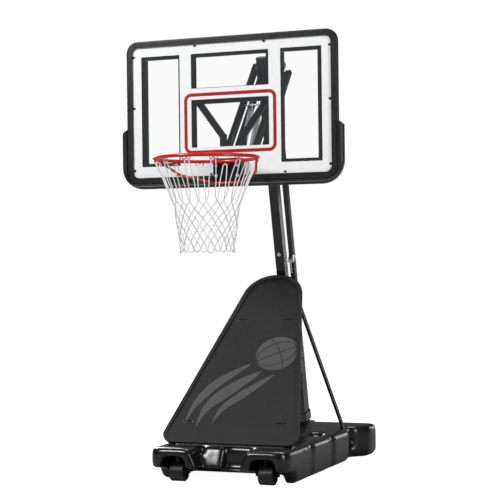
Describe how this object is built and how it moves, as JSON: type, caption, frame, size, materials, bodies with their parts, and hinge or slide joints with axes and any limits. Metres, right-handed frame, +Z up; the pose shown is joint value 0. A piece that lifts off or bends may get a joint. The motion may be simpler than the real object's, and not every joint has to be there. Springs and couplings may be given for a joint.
{
  "type": "portable basketball hoop",
  "caption": "Portable basketball hoop: wheeled ballast tank, leaning twin-tube mast, parallel lift arms with springs, framed clear backboard, red rim and white net.",
  "frame": {"origin": "centre of the footprint's bounding box, on the floor", "axes": "+Z up, the board and rim face -Y, +X to the right of someone facing the board"},
  "size_m": [1.173, 1.7, 2.197],
  "materials": {
    "tank_plastic": "gloss black moulded plastic",
    "ballast": "clear water, sealed in the tank",
    "cap_plastic": "satin black",
    "wheel_plastic": "satin black, ribbed",
    "mast_steel": "gloss black powder coat",
    "zinc": "bright zinc",
    "spring_steel": "bright plated wire",
    "cover_plastic": "dark grey satin",
    "webbing": "black webbing",
    "clear_panel": "clear with white and red print",
    "trim_plastic": "satin black",
    "pad_foam": "soft black",
    "rim_paint": "gloss red powder coat",
    "net_cord": "white braided cord",
    "grip_rubber": "matt black"
  },
  "bodies": {
    "stand": {"base_tank": "tank_plastic", "ballast_water": "ballast", "wheel_axles": "mast_steel", "lower_pole": "mast_steel", "pole_foot": "mast_steel", "upper_pole": "mast_steel", "pole_cap": "cap_plastic", "mast_plates": "mast_steel", "mast_bolts": "zinc", "mast_spacers": "mast_steel", "pole_lock_bolts": "zinc", "head_plates": "mast_steel", "head_bolts": "zinc", "arm_hinge_bolts": "zinc", "arm_spacers": "mast_steel", "rear_strut_left": "mast_steel", "rear_strut_right": "mast_steel", "front_strut_left": "mast_steel", "front_strut_right": "mast_steel", "strut_bolts": "zinc", "front_cover": "cover_plastic", "cover_straps": "webbing"},
    "wheel_l": {"wheel_left": "wheel_plastic"},
    "wheel_r": {"wheel_right": "wheel_plastic"},
    "cap": {"fill_cap": "cap_plastic"},
    "upper_arms": {"upper_arm_left": "mast_steel", "upper_arm_right": "mast_steel", "spring_pin": "zinc", "balance_springs": "spring_steel"},
    "lower_arms": {"lower_arm_left": "mast_steel", "lower_arm_right": "mast_steel", "lift_pin": "mast_steel"},
    "board": {"backboard_panel": "clear_panel", "board_frame": "trim_plastic", "bottom_pad": "pad_foam", "board_screws": "mast_steel", "back_rails": "mast_steel", "back_sides": "mast_steel", "back_uprights": "mast_steel", "back_crossbars": "mast_steel", "board_bracket_left": "mast_steel", "board_bracket_right": "mast_steel", "board_pivot_bolts": "zinc", "board_pivot_spacers": "mast_steel", "rim_bracket": "mast_steel", "rim_ring": "rim_paint", "rim_brace": "rim_paint", "rim_bolts": "zinc", "net_hooks": "rim_paint", "net": "net_cord"},
    "lift": {"lift_tube": "mast_steel", "lift_grip": "grip_rubber", "trigger_pin": "zinc"},
    "trigger": {"trigger_lever": "zinc"}
  },
  "joints": [
    {"name": "arm_lift", "type": "hinge", "parent": "stand", "child": "upper_arms", "pos_m": [0, 0.3015, 2.113], "axis": [-1, 0, 0], "range_deg": [0, 75]},
    {"name": "lower_arm_lift", "type": "hinge", "parent": "stand", "child": "lower_arms", "pos_m": [0, 0.3285, 2.006], "axis": [-1, 0, 0], "range_deg": [0, 75]},
    {"name": "board_level", "type": "hinge", "parent": "upper_arms", "child": "board", "pos_m": [0, -0.1602, 1.60023], "axis": [-1, 0, 0], "range_deg": [-75, 0], "deforming": ["balance_springs"]},
    {"name": "lift_link", "type": "hinge", "parent": "lower_arms", "child": "lift", "pos_m": [0, 0.39675, 2.0818], "axis": [-1, 0, 0], "range_deg": [-75, 0]},
    {"name": "trigger_pull", "type": "hinge", "parent": "lift", "child": "trigger", "pos_m": [0, 0.6305, 1.096], "axis": [1, 0, 0], "range_deg": [0, 10], "stiffness_Nm_per_rad": 0.5, "springref_deg": -14.32},
    {"name": "wheel_left_spin", "type": "hinge", "parent": "stand", "child": "wheel_l", "pos_m": [-0.232, -0.4305, 0.0465], "axis": [1, 0, 0], "continuous": true},
    {"name": "wheel_right_spin", "type": "hinge", "parent": "stand", "child": "wheel_r", "pos_m": [0.232, -0.4305, 0.0465], "axis": [1, 0, 0], "continuous": true},
    {"name": "cap_turn", "type": "hinge", "parent": "stand", "child": "cap", "pos_m": [-0.12, 0.4195, 0.172], "axis": [0, 0, 1], "continuous": true}
  ],
  "couplings": [
    {"joint": "lower_arm_lift", "follows": "arm_lift", "ratio": 1},
    {"joint": "board_level", "follows": "arm_lift", "ratio": -1},
    {"joint": "lift_link", "follows": "arm_lift", "ratio": -1}
  ]
}
